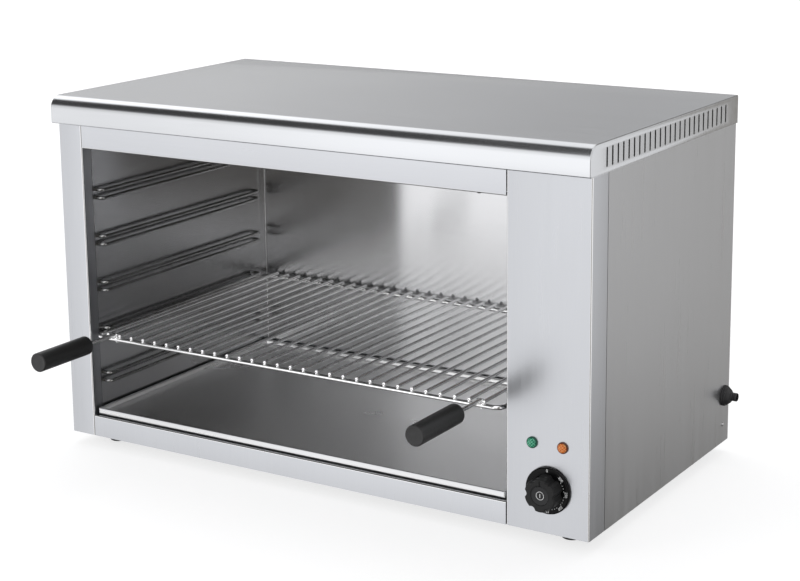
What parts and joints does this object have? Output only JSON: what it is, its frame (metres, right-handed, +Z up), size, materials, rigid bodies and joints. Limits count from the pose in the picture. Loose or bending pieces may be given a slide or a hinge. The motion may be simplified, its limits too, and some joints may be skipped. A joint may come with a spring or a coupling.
{
  "type": "electric cheese melter",
  "caption": "Wall-hung electric cheese melter: open-fronted steel cabinet with wire rack on side guides, roof elements, crumb tray and a side control panel.",
  "frame": {"origin": "centre of the footprint, at the underside of the rubber feet", "axes": "+X to the control panel side as seen from the front, +Y from the open front to the back, +Z up"},
  "size_m": [0.6982, 0.491, 0.418],
  "materials": {
    "side_steel": "fine vertical brushed grain, satin",
    "base_steel": "mill finish, dull",
    "front_steel": "fine brushed grain, satin",
    "cap_steel": "satin top with a bright rounded front edge",
    "liner_steel": "bright rolled sheet, softly reflecting",
    "rod_steel": "polished wire",
    "rack_steel": "polished wire",
    "tray_steel": "bright rolled sheet",
    "tube_steel": "heat-darkened sheath",
    "ceramic": "unglazed ceramic",
    "wool": "mineral wool",
    "thermostat_body": "moulded resin",
    "screw_steel": "bright zinc",
    "copper": "drawn copper",
    "knob_black": "moulded thermoset, semi-gloss, with a pale printed scale",
    "insert_grey": "moulded, satin, with a pale ring",
    "rim_green": "moulded, dark green, semi-gloss",
    "rim_amber": "moulded, dark brown, semi-gloss",
    "lens_green": "faceted clear plastic",
    "lens_amber": "faceted clear plastic",
    "brass": "turned brass",
    "gland_black": "moulded nylon",
    "lead_red": "silicone-sheathed lead",
    "foot_rubber": "moulded rubber",
    "grip_black": "turned phenolic, satin"
  },
  "bodies": {
    "cabinet": {"base_pan": "base_steel", "left_side_panel": "side_steel", "right_side_panel": "side_steel", "back_panel": "side_steel", "left_post": "front_steel", "control_panel": "front_steel", "top_front_strip": "front_steel", "bottom_front_rail": "front_steel", "top_cap": "cap_steel", "liner_left_wall": "liner_steel", "liner_right_wall": "liner_steel", "liner_back_wall": "liner_steel", "reflector": "liner_steel", "liner_floor": "liner_steel", "guide_left_1": "rod_steel", "guide_left_2": "rod_steel", "guide_left_3": "rod_steel", "guide_left_4": "rod_steel", "guide_left_5": "rod_steel", "guide_right_1": "rod_steel", "guide_right_2": "rod_steel", "guide_right_3": "rod_steel", "guide_right_4": "rod_steel", "guide_right_5": "rod_steel", "heating_tube_front": "tube_steel", "heating_tube_rear": "tube_steel", "tube_hangers": "liner_steel", "tube_collars": "ceramic", "roof_wool": "wool", "back_wool": "wool", "side_wool": "wool", "bay_wool_pad": "wool", "thermostat": "thermostat_body", "thermostat_bulb": "copper", "capillary": "copper", "green_lamp_body": "rim_green", "green_lens": "lens_green", "amber_lamp_body": "rim_amber", "amber_lens": "lens_amber", "terminal_block": "ceramic", "earth_stud": "brass", "cable_gland": "gland_black", "gland_nut": "gland_black", "wiring": "lead_red", "foot_front_left": "foot_rubber", "foot_front_right": "foot_rubber", "foot_rear_left": "foot_rubber", "foot_rear_right": "foot_rubber", "foot_screws": "screw_steel", "back_screws": "screw_steel", "side_screws": "screw_steel"},
    "rack": {"rack_frame": "rack_steel", "rack_bars": "rack_steel", "rack_handle_rods": "rack_steel", "left_grip": "grip_black", "right_grip": "grip_black"},
    "tray": {"crumb_tray": "tray_steel"},
    "control_knob": {"knob": "knob_black", "knob_insert": "insert_grey", "thermostat_shaft": "screw_steel"}
  },
  "joints": [
    {"name": "rack_slide", "type": "slide", "parent": "cabinet", "child": "rack", "axis": [0, -1, 0], "range_m": [0, 0.26]},
    {"name": "tray_slide", "type": "slide", "parent": "cabinet", "child": "tray", "axis": [0, -1, 0], "range_m": [0, 0.3]},
    {"name": "knob_turn", "type": "hinge", "parent": "cabinet", "child": "control_knob", "pos_m": [0.2877, -0.1195, 0.0618], "axis": [0, 1, 0], "range_deg": [0, 300]}
  ]
}
